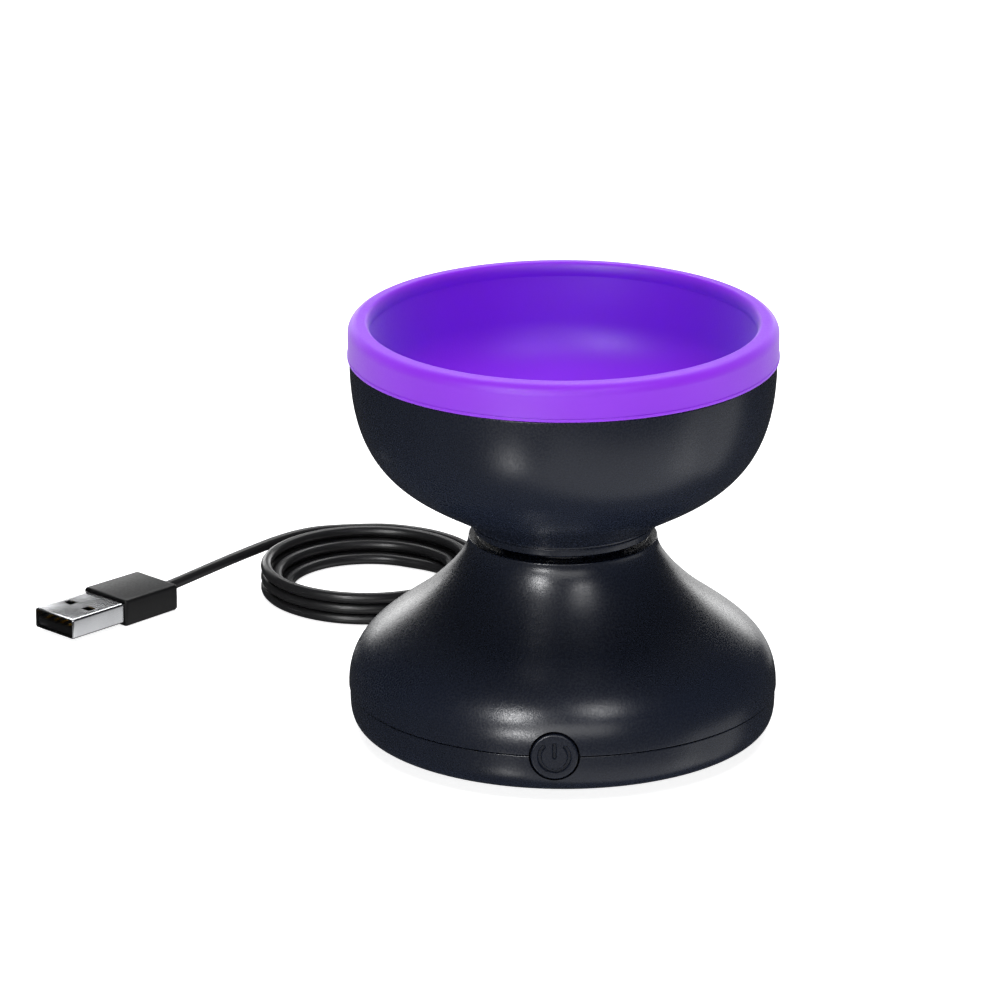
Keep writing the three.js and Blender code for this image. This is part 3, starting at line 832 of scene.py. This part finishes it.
def make_bowl():
    outer = bezier((18.8, 45.9), (30.4, 53.9), (BOWL_R, 55.1), (BOWL_R, 80.7), 64)
    inner = [p for p in inset(outer, 2.0) if p[1] > BOWL_FLOOR_Z + 0.6][::-2]
    bowl = revolve("outer_bowl", outline([
        (0, 48.9), (16.4, 48.9, 0.4), (16.4, 43.9, 0.25), (18.6, 43.9, 0.25), (18.6, 44.75, 0.08),
        (18.95, 44.75, 0.12), (18.95, 45.4, 0.12), (18.7, 45.55, 0.1), *outer,
        (BOWL_R, 81.0, 0.2), (43.1, 81.0, 0.1), (43.1, BOWL_RIM_Z, 0.4), (41.9, BOWL_RIM_Z, 0.35),
        *inner, (21.8, BOWL_FLOOR_Z, 1.5), (0, BOWL_FLOOR_Z),
    ]), AROUND)
    for x, y in around(3, HUB_SCREW_CIRCLE, 90):
        cut(bowl, round_bar("hub_screw_hole", 1.3, 48, 52, (x, y), 32))
    return place(bowl, "bowl", "navy_plastic", "spin_bowl")


make_bowl()
for i, spot in enumerate(around(3, HUB_SCREW_CIRCLE, 90)):
    make_screw(f"hub_screw_{i + 1}", "bowl", 2.2, 1.2, 1.0, 6.0, 52.4, spot, True)


# ---------------------------------------------------------------- silicone liner

def dish(edge_r, edge_z, bottom_z, steps=40):
    """(r, z) points from the middle of a dish to its edge."""
    return bezier((0, bottom_z), (24, bottom_z), (edge_r - 0.6, edge_z - 10.5), (edge_r, edge_z),
                  steps)


def make_liner():
    inner_dish = dish(39.5, CREASE_Z, DISH_Z)
    liner = revolve("liner", outline([
        *dish(41.3, CREASE_Z, DISH_Z - 1.8), (41.6, CREASE_Z + 2, 0.5),
        (41.6, BOWL_RIM_Z + 0.3, 0.3), (43.4, BOWL_RIM_Z + 0.3, 0.3), (43.4, BAND_Z, 0.1),
        (R_BODY, BAND_Z, 0.18), (R_BODY, BAND_Z + 0.62, 0.12), (R_BODY - 0.14, BAND_Z + 0.72, 0.05),
        *arc((R_BODY - 2.44, HEIGHT - 2.42), (2.3, 2.35), 0, 86, 14),
        *arc((40.95, HEIGHT - 1.75), (1.0, 1.78), 85, 180, 12),
        (39.95, 86.15), (40.03, 86.0, 0.05), *inner_dish[::-1],
    ]), AROUND)
    return place(liner, "liner", "purple_silicone", "silicone_liner")


make_liner()


# ---------------------------------------------------------------- pieces kept from the CAD model

for node_name, node in frame["nodes"].items():
    if not node.hide_render:
        smooth(node, KEPT_SHARP)
        node.data.materials.clear()
        node.data.materials.append(MATERIALS[SLOT_OF[node_name]])


# ---------------------------------------------------------------- stage and light

FLOOR_HALF = 4000
FLOOR_GLOW = 0.84
WORLD_STRENGTH = 0.04


def make_floor():
    """Pale floor with a light of its own. Gloss and shadow rays pass through it, so that the
    reflectors below its level show in the undersides as a bright table top would."""
    corners = [(x * FLOOR_HALF, y * FLOOR_HALF, 0) for x, y in ((-1, -1), (1, -1), (1, 1), (-1, 1))]
    floor = mesh_object("floor", corners, [(0, 1, 2, 3)])
    shader = Nodes("floor", (0.82, 0.82, 0.83), 0.9)
    shader.set("Emission Color", (1, 1, 1, 1)).set("Emission Strength", FLOOR_GLOW)
    floor.data.materials.append(shader.material)
    floor.visible_glossy = False
    floor.visible_shadow = False


def area_light(name, azimuth, elevation, distance, size, power, gloss=True, diffuse=True):
    """Softbox that faces the object's middle. Its azimuth counts from the front to the object's +X
    side and its elevation from the level of the middle, in degrees. The distance and the size
    (width, height) are in metres and the power is in watts. A light without gloss makes no
    highlights, and one without diffuse makes nothing else."""
    data = bpy.data.lights.new(name, "AREA")
    data.energy = power
    data.shape = "RECTANGLE"
    data.size, data.size_y = size
    light = bpy.data.objects.new(name, data)
    bpy.context.scene.collection.objects.link(light)
    across, up = math.radians(azimuth), math.radians(elevation)
    way = Vector((math.sin(across) * math.cos(up), -math.cos(across) * math.cos(up), math.sin(up)))
    light.location = TARGET + way * distance
    light.rotation_euler = (-way).to_track_quat("-Z", "Y").to_euler()
    light.visible_glossy = gloss
    light.visible_diffuse = diffuse


def make_world():
    world = bpy.data.worlds.new("studio")
    bpy.context.scene.world = world
    world.use_nodes = True
    background = world.node_tree.nodes["Background"]
    background.inputs["Color"].default_value = (1, 1, 1, 1)
    background.inputs["Strength"].default_value = WORLD_STRENGTH


make_floor()
make_world()
# Soft light from the front and from above.
area_light("front", 4, 16, 2.0, (1.8, 0.7), 10.7)
area_light("top", 0, 88, 2.0, (1.2, 1.2), 29, gloss=False)
area_light("overhead", 180, 62, 2.2, (2.6, 1.6), 31, gloss=False)
# Highlights on the neck, the bowl and the foot of the base.
area_light("key_left", -26.5, 35, 1.5, (0.20, 0.50), 11.5, diffuse=False)
area_light("key_right", 27, 47, 1.5, (0.36, 0.50), 4.6, diffuse=False)
area_light("low_left", -21, 5, 1.5, (0.34, 0.20), 7, diffuse=False)
# What a bright table top would show in the undersides.
area_light("glow_left", -28, -34, 1.5, (0.22, 0.30), 1.5, diffuse=False)
area_light("table_glow", 38, -45, 1.5, (2.4, 1.1), 6, diffuse=False)
area_light("table_right", 92, -28, 1.5, (1.0, 0.8), 1.8, diffuse=False)
# Glow along the rim's far side and the silhouette.
area_light("back", 180, 44, 1.9, (1.3, 0.5), 12, diffuse=False)
area_light("back_low", 180, 0, 1.8, (1.5, 0.9), 4.4, diffuse=False)
area_light("flank_left", -160, 8, 1.8, (0.6, 0.4), 3.2, diffuse=False)
area_light("flank_right", 164, 8, 1.8, (0.6, 0.4), 2.4, diffuse=False)
bpy.context.scene.view_settings.view_transform = "Standard"
